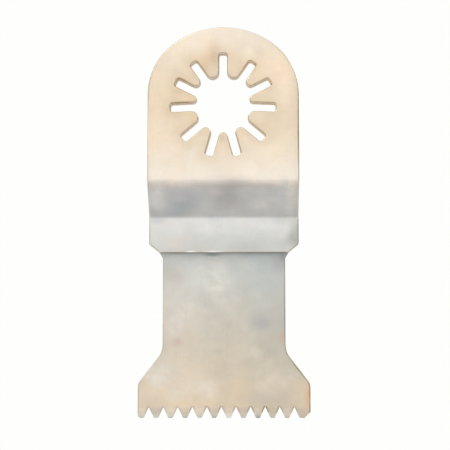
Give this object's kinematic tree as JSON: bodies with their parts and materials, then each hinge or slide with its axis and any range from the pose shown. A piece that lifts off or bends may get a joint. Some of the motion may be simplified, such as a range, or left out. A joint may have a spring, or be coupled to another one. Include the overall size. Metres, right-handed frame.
{
  "type": "oscillating tool saw blade",
  "caption": "End-cut saw blade for an oscillating multi tool: Z-bent steel shank with star arbor hole, welded to a flared toothed blade.",
  "frame": {"origin": "middle of the footprint of the whole part, at the level of the tooth tips", "axes": "+Z from the teeth to the arbor end, along the blade; +X across the cutting edge; -Y out of the side that seats on the machine's hub"},
  "size_m": [0.034, 0.0098, 0.0764],
  "materials": {
    "shank_steel": "satin stamped sheet steel with a warm straw tint on the mount plate",
    "blade_steel": "satin spring steel, cool grey at the shank turning warm beige at the teeth",
    "tip_steel": "ground high-speed steel",
    "weld_metal": "resistance weld metal"
  },
  "bodies": {
    "root": {"arbor_shank": "shank_steel", "blade_body": "blade_steel", "tooth_tip_01": "tip_steel", "tooth_tip_02": "tip_steel", "tooth_tip_03": "tip_steel", "tooth_tip_04": "tip_steel", "tooth_tip_05": "tip_steel", "tooth_tip_06": "tip_steel", "tooth_tip_07": "tip_steel", "tooth_tip_08": "tip_steel", "tooth_tip_09": "tip_steel", "tooth_tip_10": "tip_steel", "tooth_tip_11": "tip_steel", "tooth_tip_12": "tip_steel", "spot_weld_1": "weld_metal", "spot_weld_2": "weld_metal", "spot_weld_3": "weld_metal", "spot_weld_4": "weld_metal", "spot_weld_5": "weld_metal", "spot_weld_6": "weld_metal"}
  },
  "joints": []
}
